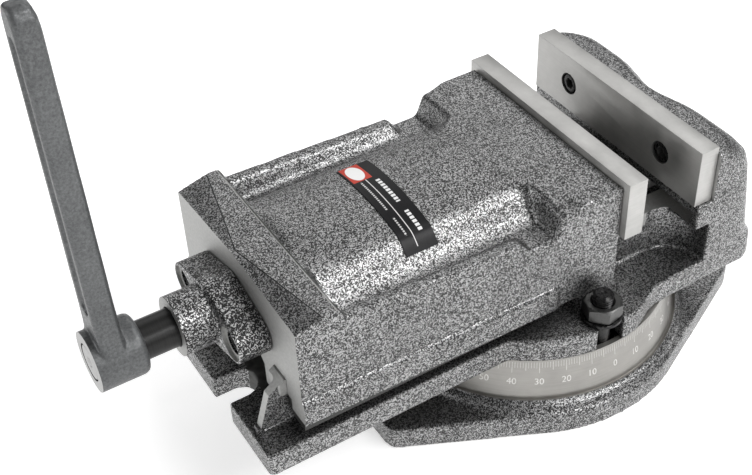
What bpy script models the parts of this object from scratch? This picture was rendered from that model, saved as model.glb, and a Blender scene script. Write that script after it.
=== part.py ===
"""Rotary machine vise: a swivelling milling vise on a graduated base, as separate real pieces.

The driving dimensions are millimetres, and MM turns them into Blender's metres.
+X runs along the lead screw from the crank to the fixed jaw, +Z is up. The origin is on the
swivel axis, at the underside of the base. The crank, screw and moving jaw are drawn with the
jaws 32 mm apart.
"""

import math

import bmesh
import bpy
from mathutils import Vector

MM = 0.001
GAP = 0.3  # clearance kept between pieces that touch

# Jaws and their ground plates
JAW_WIDTH = 125.0
PLATE_HEIGHT = 31.7
PLATE_THICKNESS = 10.5
PLATE_TOP = 123.0
PLATE_BOTTOM = PLATE_TOP - PLATE_HEIGHT
JAW_OPENING = 32.2
FIXED_FACE = 52.5  # x of the fixed plate's gripping face
MOVING_FACE = FIXED_FACE - JAW_OPENING
FIXED_SEAT = FIXED_FACE + PLATE_THICKNESS + GAP
MOVING_SEAT = MOVING_FACE - PLATE_THICKNESS - GAP
PLATE_SCREW_Y = 35.4
PLATE_SCREW_Z = 107.2

# Swivel base
BASE_TIP_X = 108.0
BASE_TIP_Y = 43.5
BASE_ARC_R = 85.5
BASE_THICK = 13.0
COLLAR_R = 83.5
COLLAR_TOP = 17.5
DIAL_FOOT_R = 78.3
DIAL_TOP_R = 74.0
DIAL_TOP = 39.7
CLAMP_R = 66.3  # radius of the round T-slot's centre line
T_SLOT_HALF = 5.1
T_SLOT_UNDERCUT = 7.3
PIVOT_R = 12.0

# Vise body
BED_BOTTOM = DIAL_TOP + GAP
BED_TOP = 53.0
BED_END = -176.5
BED_HALF = 56.3
FLANGE_R = 75.0
SHOULDER_HALF = 63.9  # half width of the bed under the fixed jaw
CLAMP_X = -3.0
CLAMP_Y = math.sqrt(CLAMP_R**2 - CLAMP_X**2)
CLAMP_SLOT_HALF = 7.4
RAIL_INNER = 31.5
RAIL_OUTER = 42.0
RAIL_BOTTOM = 69.8
RAIL_TOP = 78.8
WEB_INNER = 37.0
WEB_OUTER = 40.8
GUIDE_END = -161.0
FIXED_JAW_HALF = 64.3
FIXED_JAW_TOP = 119.0

# Moving jaw
CARRIAGE_END = -158.0
CARRIAGE_HALF_END = 56.0
CARRIAGE_HALF_HEAD = 58.6
SKIRT_BOTTOM = 63.5
HEAD_TOP = 119.3
CROWN_TOP = 122.0
VALLEY_FLOOR = 106.0

INNER_LEG = 20.6  # y of the inner faces of the legs between the guides
KEEPER_LIP = 45.4
KEEPER_SCREW_Y = 51.0
KEEPER_TOP = SKIRT_BOTTOM - GAP
KEEPER_BOTTOM = 58.5
KEEPER_LOW_X = -157.6
KEEPER_HIGH_X = -20.0

# Lead screw, its nut and its bearing
SCREW_Z = 93.3
SHAFT_R = 9.0
THREAD_R = 8.7
SCREW_COLLAR_R = 12.5
SCREW_TIP = -12.0
FLANGE_FRONT = -172.0
BOSS_FRONT = -189.6
BOSS_R = 14.0
BEARING_SCREW_Y = 23.4
NUT_LOW_X = -105.0
NUT_HIGH_X = -77.0

# Crank
HUB_FRONT = -228.0
HUB_BACK = -205.3
HUB_R = 14.0
CRANK_BORE_R = 8.5
ARM_FRONT_LOW = -224.5  # x of the arm's front face beside the hub, and at its tip
ARM_FRONT_HIGH = -226.4
ARM_TIP_Z = 265.0
SET_SCREW_X = -211.5

PAINT = ((0.20, 0.205, 0.205), 0.38, 0.35)
STEEL = ((0.66, 0.65, 0.62), 0.34, 1.0)
BLACK_STEEL = ((0.035, 0.035, 0.037), 0.35, 0.8)
CAST_GREY = ((0.17, 0.175, 0.18), 0.45, 0.6)
BRONZE = ((0.60, 0.42, 0.20), 0.40, 1.0)
LABEL = ((0.02, 0.02, 0.022), 0.30, 0.0)


def clear_scene():
    for obj in list(bpy.data.objects):
        bpy.data.objects.remove(obj, do_unlink=True)


def material(name, look):
    colour, roughness, metallic = look
    made = bpy.data.materials.new(name)
    made.use_nodes = True
    shader = made.node_tree.nodes["Principled BSDF"]
    shader.inputs["Base Color"].default_value = (*colour, 1.0)
    shader.inputs["Roughness"].default_value = roughness
    shader.inputs["Metallic"].default_value = metallic
    return made


def object_from(name, bm, look=None, origin=(0.0, 0.0, 0.0), sharp_deg=35.0):
    """An object from a bmesh in millimetres, with its origin at the point given."""
    bmesh.ops.recalc_face_normals(bm, faces=bm.faces)
    bmesh.ops.translate(bm, verts=bm.verts, vec=-Vector(origin))
    bmesh.ops.scale(bm, verts=bm.verts, vec=(MM, MM, MM))
    mesh = bpy.data.meshes.new(name)
    bm.to_mesh(mesh)
    bm.free()
    mesh.shade_smooth()
    mesh.set_sharp_from_angle(angle=math.radians(sharp_deg))
    obj = bpy.data.objects.new(name, mesh)
    obj.location = Vector(origin) * MM
    bpy.context.scene.collection.objects.link(obj)
    if look:
        mesh.materials.append(material(name + "_material", look))
    return obj


def boolean(target, tool, operation="DIFFERENCE"):
    """Adds a Boolean to the target and turns the tool into a hidden helper."""
    modifier = target.modifiers.new(tool.name, "BOOLEAN")
    modifier.operation = operation
    modifier.object = tool
    tool.hide_render = True
    tool.display_type = "WIRE"


def loft(sections):
    """A closed solid through rings of equally many points."""
    bm = bmesh.new()
    rings = [[bm.verts.new(point) for point in section] for section in sections]
    for low, high in zip(rings, rings[1:]):
        for i in range(len(low)):
            j = (i + 1) % len(low)
            bm.faces.new((low[i], low[j], high[j], high[i]))
    bm.faces.new(reversed(rings[0]))
    bm.faces.new(rings[-1])
    return bm


def prism(outline, low, high, axis="Z"):
    """An outline of (a, b) points extruded along an axis: a, b are XY, XZ or YZ."""
    place = {
        "Z": lambda a, b, c: (a, b, c),
        "Y": lambda a, b, c: (a, c, b),
        "X": lambda a, b, c: (c, a, b),
    }[axis]
    return loft([[place(a, b, c) for a, b in outline] for c in (low, high)])


def box(low, high):
    outline = [(low[0], low[1]), (high[0], low[1]), (high[0], high[1]), (low[0], high[1])]
    return prism(outline, low[2], high[2])


def arc(centre, radius, start_deg, end_deg, steps):
    points = []
    for i in range(steps + 1):
        angle = math.radians(start_deg + (end_deg - start_deg) * i / steps)
        points.append((centre[0] + radius * math.cos(angle), centre[1] + radius * math.sin(angle)))
    return points


def circle(centre, radius, steps):
    return arc(centre, radius, 0.0, 360.0, steps)[:-1]


def rod(radius, low, high, centre, axis="Z", steps=24):
    return prism(circle(centre, radius, steps), low, high, axis)


def turned(profile, centre, axis="Z", steps=48):
    """A profile of (radius, height) points spun round an axis through the centre (a, b).

    A profile that starts and ends at radius 0 makes a solid body, any other a ring.
    """
    place = {
        "Z": lambda a, b, c: (centre[0] + a, centre[1] + b, c),
        "X": lambda a, b, c: (c, centre[0] + a, centre[1] + b),
    }[axis]
    bm = bmesh.new()
    rings = []
    for radius, height in profile:
        if radius == 0.0:
            rings.append([bm.verts.new(place(0.0, 0.0, height))])
            continue
        ring = circle((0.0, 0.0), radius, steps)
        rings.append([bm.verts.new(place(a, b, height)) for a, b in ring])
    pairs = list(zip(rings, rings[1:]))
    if profile[0][0] > 0.0:
        pairs.append((rings[-1], rings[0]))
    for first, second in pairs:
        for i in range(steps):
            j = (i + 1) % steps
            corners = [first[i % len(first)], first[j % len(first)]]
            corners += [second[j % len(second)], second[i % len(second)]]
            bm.faces.new(list(dict.fromkeys(corners)))
    return bm


def mirrored(points):
    """The points, then the same points reflected in y = 0, in reverse order."""
    return points + [(x, -y) for x, y in reversed(points)]


def hex_outline(centre, across_flats, turn_deg=0.0):
    radius = across_flats / math.sqrt(3.0)
    return [p for p in arc(centre, radius, turn_deg, turn_deg + 300.0, 5)]


def base_outline():
    """Plan of the base: a round middle with straight tangents to two narrower ends."""
    reach = math.hypot(BASE_TIP_X, BASE_TIP_Y)
    tip_deg = math.degrees(math.atan2(BASE_TIP_Y, BASE_TIP_X))
    tangent_deg = tip_deg + math.degrees(math.acos(BASE_ARC_R / reach))
    corner = 7.0
    right_corner = arc((BASE_TIP_X - corner, BASE_TIP_Y - corner + 1.5), corner, 0.0, 65.0, 5)
    middle = arc((0.0, 0.0), BASE_ARC_R, tangent_deg, 180.0 - tangent_deg, 14)
    left_corner = [(-x, y) for x, y in reversed(right_corner)]
    return mirrored(right_corner + middle + left_corner)


def make_swivel_base():
    base = object_from("swivel_base", prism(base_outline(), 0.0, BASE_THICK), PAINT)
    inner = CLAMP_R - T_SLOT_HALF
    outer = CLAMP_R + T_SLOT_HALF
    slot_roof = 31.0
    slot_floor = 22.0
    turret = [
        (0.0, 2.0),
        (COLLAR_R, 2.0),
        (COLLAR_R, BASE_THICK + 1.0),
        (COLLAR_R - 1.0, COLLAR_TOP - 1.2),
        (COLLAR_R - 3.0, COLLAR_TOP),
        (DIAL_FOOT_R, COLLAR_TOP),
        (DIAL_TOP_R, DIAL_TOP),
        (outer, DIAL_TOP),
        (outer, slot_roof),
        (CLAMP_R + T_SLOT_UNDERCUT, slot_roof),
        (CLAMP_R + T_SLOT_UNDERCUT, slot_floor),
        (CLAMP_R - T_SLOT_UNDERCUT, slot_floor),
        (CLAMP_R - T_SLOT_UNDERCUT, slot_roof),
        (inner, slot_roof),
        (inner, DIAL_TOP),
        (0.0, DIAL_TOP),
    ]
    boolean(base, object_from("base_turret", turned(turret, (0.0, 0.0), steps=56)), "UNION")
    bore = rod(PIVOT_R + GAP, 4.0, DIAL_TOP + 5.0, (0.0, 0.0))
    boolean(base, object_from("base_pivot_bore", bore))
    slot_half = 7.0
    slot_end = 97.0
    for side, name in ((1.0, "right"), (-1.0, "left")):
        outline = arc((side * slot_end, 0.0), slot_half, 90.0, 90.0 + side * 180.0, 10)
        outline += [(side * 120.0, -slot_half * 1.0), (side * 120.0, slot_half * 1.0)]
        boolean(base, object_from(f"base_slot_{name}", prism(outline, -3.0, BASE_THICK + 9.0)))
    # The T-bolts drop in where the T-slot's mouth is opened out, under the bed.
    entry = box((CLAMP_R - 6.6, -7.4, slot_floor), (CLAMP_R + 6.4, 7.4, DIAL_TOP + 5.0))
    boolean(base, object_from("base_t_bolt_entry", entry))


def make_pivot_pin():
    profile = [
        (0.0, 4.0 + GAP),
        (PIVOT_R, 4.0 + GAP),
        (PIVOT_R, 48.5),
        (PIVOT_R - 1.5, 50.0),
        (0.0, 50.0),
    ]
    object_from("pivot_pin", turned(profile, (0.0, 0.0), steps=24), STEEL)


def bed_outline():
    """Plan of the bed: a strip to the crank end, the swivel flange, and the fixed jaw's shoulder."""
    strip_deg = math.degrees(math.asin(BED_HALF / FLANGE_R))
    flange = arc((0.0, 0.0), FLANGE_R, 80.0, 180.0 - strip_deg, 12)
    right_end = 95.5
    half = [
        (right_end, SHOULDER_HALF - 3.0),
        (right_end - 3.0, SHOULDER_HALF),
        (63.0, SHOULDER_HALF),
        (33.5, SHOULDER_HALF + 1.1),
        (30.5, SHOULDER_HALF + 1.9),
        (25.8, SHOULDER_HALF + 3.8),
        (20.5, SHOULDER_HALF + 6.6),
        *flange,
        (BED_END + 2.0, BED_HALF),
        (BED_END, BED_HALF - 2.0),
    ]
    return mirrored(half)


def fixed_jaw_section(z, rear, scallop, depth, width):
    """Plan of the fixed jaw's block at one height: flat front, rounded rear with a scallop.

    The rear corners are quarter ellipses, depth by width.
    """
    half = FIXED_JAW_HALF
    turns = [math.radians(90.0 - 18.0 * i) for i in range(6)]
    points = [(FIXED_SEAT, half)]
    for turn in turns:
        x = rear - depth + depth * math.cos(turn)
        points.append((x, half - width + width * math.sin(turn)))
    corner = points[1:]
    steps = 12
    reach = half - width - 3.0
    for i in range(1, steps):
        y = reach * (1.0 - 2.0 * i / steps)
        hollow = scallop * 0.5 * (1.0 + math.cos(math.pi * min(abs(y) / 30.0, 1.0)))
        points.append((rear - hollow, y))
    points += [(x, -y) for x, y in reversed(corner)]
    points.append((FIXED_SEAT, -half))
    return [(x, y, z) for x, y in points]


def make_vise_body():
    body = object_from("vise_body", prism(bed_outline(), BED_BOTTOM, BED_TOP), PAINT)
    levels = [
        (BED_BOTTOM + 3.0, 98.6, 0.0, 8.0, 8.0),
        (56.5, 97.4, 0.5, 8.0, 8.0),
        (61.0, 94.4, 2.0, 9.0, 9.0),
        (76.0, 92.2, 3.5, 9.0, 9.0),
        (90.0, 90.2, 4.5, 9.0, 9.0),
        (103.0, 88.0, 5.5, 9.0, 9.0),
        (110.0, 85.8, 5.5, 10.0, 10.0),
        (115.0, 81.8, 5.5, 12.0, 14.0),
        (117.8, 78.4, 5.0, 12.5, 20.0),
        (FIXED_JAW_TOP, 75.4, 4.0, 11.5, 23.0),
    ]
    block = loft([fixed_jaw_section(*level) for level in levels])
    boolean(body, object_from("fixed_jaw_block", block), "UNION")
    ledge_front = FIXED_FACE + 1.5
    ledge = box(
        (ledge_front, -FIXED_JAW_HALF, 77.0), (FIXED_SEAT + 4.0, FIXED_JAW_HALF, PLATE_BOTTOM - GAP)
    )
    boolean(body, object_from("fixed_jaw_ledge", ledge), "UNION")
    guide = [
        (WEB_INNER, BED_TOP - 4.0),
        (WEB_INNER, RAIL_BOTTOM),
        (RAIL_INNER, RAIL_BOTTOM),
        (RAIL_INNER, RAIL_TOP),
        (RAIL_OUTER, RAIL_TOP),
        (RAIL_OUTER, RAIL_BOTTOM),
        (WEB_OUTER, RAIL_BOTTOM),
        (WEB_OUTER, 55.6),
        (WEB_OUTER + 0.8, 54.1),
        (WEB_OUTER + 2.4, BED_TOP),
        (WEB_OUTER + 2.4, BED_TOP - 4.0),
    ]
    web_end = [
        (-170.3, BED_TOP - 3.0),
        (-170.3, BED_TOP + 1.0),
        (-165.5, 73.0),
        (-162.5, 77.0),
        (-150.0, 77.0),
        (-150.0, BED_TOP - 3.0),
    ]
    # Each guide's outer side sweeps out to meet the fixed jaw.
    sweep = [
        (40.0, 41.2),
        (47.0, 42.2),
        (50.6, 42.9),
        (53.7, 44.0),
        (56.0, 45.6),
        (59.2, 48.9),
        (61.8, 52.8),
        (62.9, 56.0),
        (FIXED_SEAT + 0.1, 60.0),
        (FIXED_SEAT + 4.0, 60.0),
        (FIXED_SEAT + 4.0, WEB_INNER + 0.5),
        (40.0, WEB_INNER + 0.5),
    ]
    for side, name in ((1.0, "far"), (-1.0, "near")):
        outline = [(side * y, z) for y, z in guide]
        bar = prism(outline, GUIDE_END, FIXED_SEAT + 3.0, "X")
        boolean(body, object_from(f"guide_{name}", bar), "UNION")
        low, high = sorted((side * (WEB_INNER + 0.3), side * (WEB_OUTER + 0.1)))
        boolean(body, object_from(f"web_end_{name}", prism(web_end, low, high, "Y")), "UNION")
        outline = [(x, side * y) for x, y in sweep]
        swept = prism(outline, BED_TOP - 2.0, RAIL_TOP - 0.2)
        boolean(body, object_from(f"guide_sweep_{name}", swept), "UNION")
        slot = arc((CLAMP_X, side * CLAMP_Y), CLAMP_SLOT_HALF, 0.0, -side * 180.0, 10)
        slot += [(x, side * (FLANGE_R + 9.0)) for x in (slot[-1][0], slot[0][0])]
        boolean(body, object_from(f"clamp_slot_{name}", prism(slot, BED_BOTTOM - 3.0, 60.0)))
        hole = rod(
            3.3, FIXED_SEAT - 2.0, 80.0, (side * PLATE_SCREW_Y, PLATE_SCREW_Z), "X", steps=12
        )
        boolean(body, object_from(f"fixed_screw_hole_{name}", hole))
    slot_y = -9.5
    end_slot = arc((-167.0, slot_y), 8.4, -90.0, 90.0, 10)
    end_slot += [(BED_END - 9.0, slot_y + 8.4), (BED_END - 9.0, slot_y - 8.4)]
    boolean(body, object_from("bed_end_slot", prism(end_slot, BED_BOTTOM - 3.0, BED_TOP + 3.0)))
    bore = rod(PIVOT_R + GAP, BED_BOTTOM - 3.0, 51.0, (0.0, 0.0))
    boolean(body, object_from("body_pivot_bore", bore))
    for x, name in nut_bolt_places():
        profile = [(0.0, 38.0), (6.9, 38.0), (6.9, 47.0), (4.3, 47.0), (4.3, 58.0), (0.0, 58.0)]
        hole = turned(profile, (x, 0.0), steps=16)
        boolean(body, object_from(f"nut_bolt_hole_{name}", hole))


def nut_bolt_places():
    return ((NUT_LOW_X + 7.0, "front"), (NUT_HIGH_X - 7.0, "rear"))


def make_plate(name, low_x, high_x, mouth_x):
    """A ground jaw plate with two counterbored holes, whose mouths are on the side mouth_x."""
    plate = object_from(
        name,
        box((low_x, -JAW_WIDTH / 2.0, PLATE_BOTTOM), (high_x, JAW_WIDTH / 2.0, PLATE_TOP)),
        STEEL,
    )
    inwards = -1.0 if mouth_x > (low_x + high_x) / 2.0 else 1.0
    for y in (PLATE_SCREW_Y, -PLATE_SCREW_Y):
        seat = mouth_x + inwards * 6.5
        profile = [
            (0.0, mouth_x - inwards * 3.0),
            (5.6, mouth_x - inwards * 3.0),
            (5.6, seat),
            (3.4, seat),
            (3.4, mouth_x + inwards * 14.0),
            (0.0, mouth_x + inwards * 14.0),
        ]
        hole = turned(profile, (y, PLATE_SCREW_Z), "X", steps=20)
        boolean(plate, object_from(f"{name}_hole_{'far' if y > 0 else 'near'}", hole))


def make_socket_screw(name, head_x, inwards, centre, head_r, shank_r, head_h, length):
    """A hexagon socket cap screw lying along X: head_x is its head's face."""
    seat = head_x + inwards * head_h
    tip = head_x + inwards * (head_h + length)
    profile = [
        (0.0, head_x),
        (head_r - 0.5, head_x),
        (head_r, head_x + inwards * 0.5),
        (head_r, seat),
        (shank_r, seat),
        (shank_r, tip),
        (0.0, tip),
    ]
    origin = (head_x, *centre)
    screw = object_from(name, turned(profile, centre, "X", steps=20), BLACK_STEEL, origin)
    ends = sorted((head_x - inwards * 2.0, head_x + inwards * head_h * 0.6))
    socket = prism(hex_outline(centre, head_r), ends[0], ends[1], "X")
    boolean(screw, object_from(name + "_socket", socket))


def make_plate_screws():
    for y, side in ((PLATE_SCREW_Y, "far"), (-PLATE_SCREW_Y, "near")):
        centre = (y, PLATE_SCREW_Z)
        args = (centre, 5.0, 3.0, 6.0 - GAP, 17.0)
        make_socket_screw(f"fixed_plate_screw_{side}", FIXED_FACE + 0.5, 1.0, *args)
        make_socket_screw(f"moving_plate_screw_{side}", MOVING_FACE - 0.5, -1.0, *args)


def smooth_step(value, low, high):
    t = min(max((value - low) / (high - low), 0.0), 1.0)
    return t * t * (3.0 - 2.0 * t)


def mix(a, b, t):
    return a + (b - a) * t


def carriage_half(x):
    """Half width of the moving jaw's casting, which widens a little towards its head."""
    return mix(CARRIAGE_HALF_END, CARRIAGE_HALF_HEAD, (x - CARRIAGE_END) / -CARRIAGE_END)


def wall_top(x, y):
    """Top of the crank-end wall: a plateau, and two facets that fall to its front corners."""
    plateau = 120.8
    crease_x = -154.5 + 11.0 * abs(y) / 56.0
    if x >= crease_x:
        return plateau
    return mix(117.7, plateau, (x - CARRIAGE_END) / (crease_x - CARRIAGE_END))


def carriage_top(x, y):
    """Height of the moving jaw's top: crown, two side valleys with scooped ends, and rails."""
    y = abs(y)
    crown = CROWN_TOP - 0.0045 * y * y
    rail = mix(115.3, 111.5, (x + 137.0) / 91.0)
    scoop = smooth_step(x, -46.0, -40.0)
    outer = mix(rail, VALLEY_FLOOR, scoop)
    if y < 45.0:
        channel = mix(crown, VALLEY_FLOOR, smooth_step(y, 27.0, 45.0))
    else:
        channel = mix(VALLEY_FLOOR, outer, smooth_step(y, 46.0, 53.0))
    head = mix(CROWN_TOP - 0.9, HEAD_TOP, smooth_step(x, -24.0, -7.0))
    head -= 0.0012 * y * y * (1.0 - smooth_step(x, -22.0, -9.0))
    head_start = -36.0 + 7.5 * smooth_step(y, 24.0, 34.0)
    top = mix(channel, head, smooth_step(x, head_start, head_start + 6.5))
    return mix(wall_top(x, y), top, smooth_step(x, -137.0, -133.0))


def make_moving_jaw():
    stations = [CARRIAGE_END, -154.5, -150.0, -146.0, -143.5, -140.5, -138.0, -135.5, -133.0]
    stations += [-115.0, -80.0, -46.0, -43.0, -40.0, -36.0, -33.0, -30.0, -27.5, -25.0, -22.5]
    stations += [-18.0, -13.0, -8.5]
    stations += [MOVING_SEAT - GAP]
    across = (0.0, 9.0, 18.0, 27.0, 31.0, 34.5, 38.0, 41.5, 45.0, 47.5, 50.0, 53.0)
    sections = []
    for x in stations:
        half = carriage_half(x)
        right = [*across, half - 0.8, half]
        ys = [-y for y in reversed(right[1:])] + right
        drop = [0.8 if abs(y) == half else 0.0 for y in ys]
        top = [(x, y, carriage_top(x, y) - fall) for y, fall in zip(ys, drop)]
        sections.append([(x, -half, SKIRT_BOTTOM), *top, (x, half, SKIRT_BOTTOM)])
    jaw = object_from("moving_jaw", loft(sections), PAINT, sharp_deg=50.0)
    for side, name in ((1.0, "far"), (-1.0, "near")):
        band = [(CARRIAGE_END, 50.0), (-24.0, 50.0), (-24.0, carriage_half(-24.0) + 0.9)]
        band.append((CARRIAGE_END, CARRIAGE_HALF_END + 0.9))
        outline = [(x, side * y) for x, y in band]
        boolean(
            jaw, object_from(f"skirt_band_{name}", prism(outline, SKIRT_BOTTOM, 75.7)), "UNION"
        )
        low, high = sorted((side * INNER_LEG, side * (RAIL_INNER - 2.0)))
        leg = box((CARRIAGE_END, low, 58.0), (-9.0, high, 70.0))
        boolean(jaw, object_from(f"inner_leg_{name}", leg), "UNION")
    hollow = box((-139.0, -INNER_LEG - 0.1, 50.0), (-8.0, INNER_LEG + 0.1, 110.5))
    boolean(jaw, object_from("jaw_hollow", hollow))
    arch = box((CARRIAGE_END - 5.0, -INNER_LEG - 0.1, 50.0), (-130.0, INNER_LEG + 0.1, 73.4))
    boolean(jaw, object_from("jaw_end_arch", arch))
    for side, name in ((1.0, "far"), (-1.0, "near")):
        low, high = sorted((side * (RAIL_INNER - GAP), side * (RAIL_OUTER + GAP)))
        channel = box((CARRIAGE_END - 5.0, low, 50.0), (40.0, high, RAIL_TOP + GAP))
        boolean(jaw, object_from(f"jaw_channel_{name}", channel))
        low, high = sorted((side * RAIL_OUTER, side * (KEEPER_LIP + GAP)))
        step = box((CARRIAGE_END - 5.0, low, 50.0), (40.0, high, RAIL_BOTTOM))
        boolean(jaw, object_from(f"jaw_step_{name}", step))
    profile = [
        (0.0, CARRIAGE_END - 5.0),
        (SCREW_COLLAR_R + 1.0, CARRIAGE_END - 5.0),
        (SCREW_COLLAR_R + 1.0, -144.6),
        (SHAFT_R + 0.5, -144.6),
        (SHAFT_R + 0.5, -130.0),
        (0.0, -130.0),
    ]
    boolean(jaw, object_from("jaw_screw_bore", turned(profile, (0.0, SCREW_Z), "X", steps=32)))
    for side, name in ((1.0, "far"), (-1.0, "near")):
        hole = rod(3.3, -6.0, 15.0, (side * PLATE_SCREW_Y, PLATE_SCREW_Z), "X", steps=12)
        boolean(jaw, object_from(f"moving_screw_hole_{name}", hole))
        hole = rod(3.4, -166.0, -147.0, (side * BEARING_SCREW_Y, SCREW_Z), "X", steps=12)
        boolean(jaw, object_from(f"bearing_screw_hole_{name}", hole))
        for x, place in keeper_screw_places():
            hole = rod(2.3, 55.0, 72.0, (x, side * KEEPER_SCREW_Y), steps=10)
            boolean(jaw, object_from(f"keeper_hole_{name}_{place}", hole))


def keeper_screw_places():
    return ((-140.0, "front"), (-88.0, "middle"), (-36.0, "rear"))


def make_keepers():
    """Strips screwed under the outer legs, whose lips reach under the guides."""
    for side, name in ((1.0, "far"), (-1.0, "near")):
        outline = [
            (side * (WEB_OUTER + 0.5), RAIL_BOTTOM - GAP),
            (side * KEEPER_LIP, RAIL_BOTTOM - GAP),
            (side * KEEPER_LIP, KEEPER_TOP),
            (side * 55.6, KEEPER_TOP),
            (side * 55.6, KEEPER_BOTTOM),
            (side * 46.6, KEEPER_BOTTOM),
            (side * (WEB_OUTER + 0.5), 63.8),
        ]
        strip = prism(outline, KEEPER_LOW_X, KEEPER_HIGH_X, "X")
        keeper = object_from(f"keeper_{name}", strip, STEEL)
        for x, place in keeper_screw_places():
            centre = (x, side * KEEPER_SCREW_Y)
            clear = [
                (0.0, KEEPER_BOTTOM - 2.0),
                (3.0, KEEPER_BOTTOM - 2.0),
                (3.0, KEEPER_BOTTOM),
                (2.4, 61.0),
                (2.4, 66.0),
                (0.0, 66.0),
            ]
            hole = turned(clear, centre, steps=12)
            boolean(keeper, object_from(f"keeper_sink_{name}_{place}", hole))
            shape = [(0.0, KEEPER_BOTTOM), (2.7, KEEPER_BOTTOM), (2.05, 61.0), (2.05, 71.0)]
            shape.append((0.0, 71.0))
            screw = turned(shape, centre, steps=12)
            object_from(
                f"keeper_screw_{name}_{place}", screw, BLACK_STEEL, (*centre, KEEPER_BOTTOM)
            )


def bearing_outline():
    """Front view of the bearing flange: a round middle with a lobe for each screw."""
    lobe_r = 9.5
    middle_r = 15.8
    away = math.degrees(math.acos((middle_r - lobe_r) / BEARING_SCREW_Y))
    middle = arc((0.0, SCREW_Z), middle_r, away, 180.0 - away, 8)
    left = arc((-BEARING_SCREW_Y, SCREW_Z), lobe_r, 180.0 - away, 180.0 + away, 10)
    lower = arc((0.0, SCREW_Z), middle_r, 180.0 + away, 360.0 - away, 8)
    right = arc((BEARING_SCREW_Y, SCREW_Z), lobe_r, -away, away, 10)
    return middle + left + lower + right


def make_bearing_flange():
    plate = prism(bearing_outline(), FLANGE_FRONT, CARRIAGE_END - GAP, "X")
    flange = object_from("bearing_flange", plate, PAINT)
    profile = [
        (0.0, CARRIAGE_END - 3.0),
        (BOSS_R, CARRIAGE_END - 3.0),
        (BOSS_R, BOSS_FRONT + 1.5),
        (BOSS_R - 1.5, BOSS_FRONT),
        (0.0, BOSS_FRONT),
    ]
    boolean(
        flange, object_from("bearing_boss", turned(profile, (0.0, SCREW_Z), "X", 36)), "UNION"
    )
    bore = rod(SHAFT_R + 0.5, -200.0, -150.0, (0.0, SCREW_Z), "X", steps=36)
    boolean(flange, object_from("bearing_bore", bore))
    for side, name in ((1.0, "far"), (-1.0, "near")):
        centre = (side * BEARING_SCREW_Y, SCREW_Z)
        profile = [
            (0.0, BOSS_FRONT - 3.0),
            (5.6, BOSS_FRONT - 3.0),
            (5.6, FLANGE_FRONT + 6.3),
            (3.4, FLANGE_FRONT + 6.3),
            (3.4, -150.0),
            (0.0, -150.0),
        ]
        hole = turned(profile, centre, "X", steps=20)
        boolean(flange, object_from(f"bearing_counterbore_{name}", hole))
        make_socket_screw(
            f"bearing_screw_{name}", FLANGE_FRONT + 0.6, 1.0, centre, 5.0, 3.0, 5.4, 17.0
        )


def make_lead_screw():
    profile = [
        (0.0, HUB_FRONT + 0.1),
        (CRANK_BORE_R - 0.6, HUB_FRONT + 0.1),
        (CRANK_BORE_R, HUB_FRONT + 0.7),
        (CRANK_BORE_R, HUB_BACK + GAP),
        (SHAFT_R, HUB_BACK + GAP),
        (SHAFT_R, -153.9),
        (SCREW_COLLAR_R, -153.9),
        (SCREW_COLLAR_R, -148.1),
        (SHAFT_R, -148.1),
        (SHAFT_R, -143.0),
        (THREAD_R - 1.5, -143.0),
        (THREAD_R - 1.5, -139.0),
        (THREAD_R, -137.5),
        (THREAD_R, SCREW_TIP - 1.5),
        (THREAD_R - 1.5, SCREW_TIP),
        (0.0, SCREW_TIP),
    ]
    origin = (HUB_BACK, 0.0, SCREW_Z)
    screw = object_from(
        "lead_screw", turned(profile, (0.0, SCREW_Z), "X", steps=32), BLACK_STEEL, origin
    )
    boolean(screw, object_from("screw_keyway", box(*crank_keyway(GAP))))


def crank_keyway(clearance):
    """Low and high corners of the key between screw and crank, grown by a clearance."""
    low = (-226.0, -2.5, SCREW_Z - CRANK_BORE_R - 2.2)
    high = (-218.0, 2.5, SCREW_Z - CRANK_BORE_R + 2.5)
    return [c - clearance for c in low], [c + clearance for c in high]


def make_thrust_washers():
    for name, low in (("front", -156.8), ("rear", -147.8)):
        ring = [
            (SHAFT_R + 0.4, low),
            (SCREW_COLLAR_R, low),
            (SCREW_COLLAR_R, low + 2.6),
            (SHAFT_R + 0.4, low + 2.6),
        ]
        washer = turned(ring, (0.0, SCREW_Z), "X", steps=32)
        object_from(f"thrust_washer_{name}", washer, BRONZE)


def make_screw_nut():
    top = 109.5
    waist = 17.5
    outline = [(-waist, BED_TOP + GAP), (waist, BED_TOP + GAP), (waist, 100.0)]
    outline += [(waist - 6.0, top), (6.0 - waist, top), (-waist, 100.0)]
    nut = object_from("screw_nut", prism(outline, NUT_LOW_X, NUT_HIGH_X, "X"), BRONZE)
    bore = rod(THREAD_R + 0.4, NUT_LOW_X - 5.0, NUT_HIGH_X + 5.0, (0.0, SCREW_Z), "X", steps=32)
    boolean(nut, object_from("nut_thread_bore", bore))
    for x, name in nut_bolt_places():
        hole = rod(4.3, 45.0, 73.0, (x, 0.0), steps=14)
        boolean(nut, object_from(f"nut_tapped_hole_{name}", hole))
        profile = [(0.0, 40.4), (6.5, 40.4), (6.5, 46.7), (4.0, 46.7), (4.0, 72.0), (0.0, 72.0)]
        bolt = turned(profile, (x, 0.0), steps=16)
        bolt_object = object_from(f"nut_bolt_{name}", bolt, BLACK_STEEL, (x, 0.0, 46.7))
        socket = prism(hex_outline((x, 0.0), 6.0), 38.0, 44.0)
        boolean(bolt_object, object_from(f"nut_bolt_socket_{name}", socket))


def arm_front(z):
    """X of the arm's front face, which leans forward a little towards the tip."""
    return mix(ARM_FRONT_LOW, ARM_FRONT_HIGH, (z - SCREW_Z) / (ARM_TIP_Z - SCREW_Z))


def arm_section(z, half, back):
    """A chamfered rectangle across the crank's arm at one height."""
    edge = 1.6
    front = arm_front(z)
    corners = [
        (front, half - edge),
        (front + edge, half),
        (back - edge, half),
        (back, half - edge),
    ]
    return [(x, y, z) for x, y in mirrored(corners)]


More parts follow.
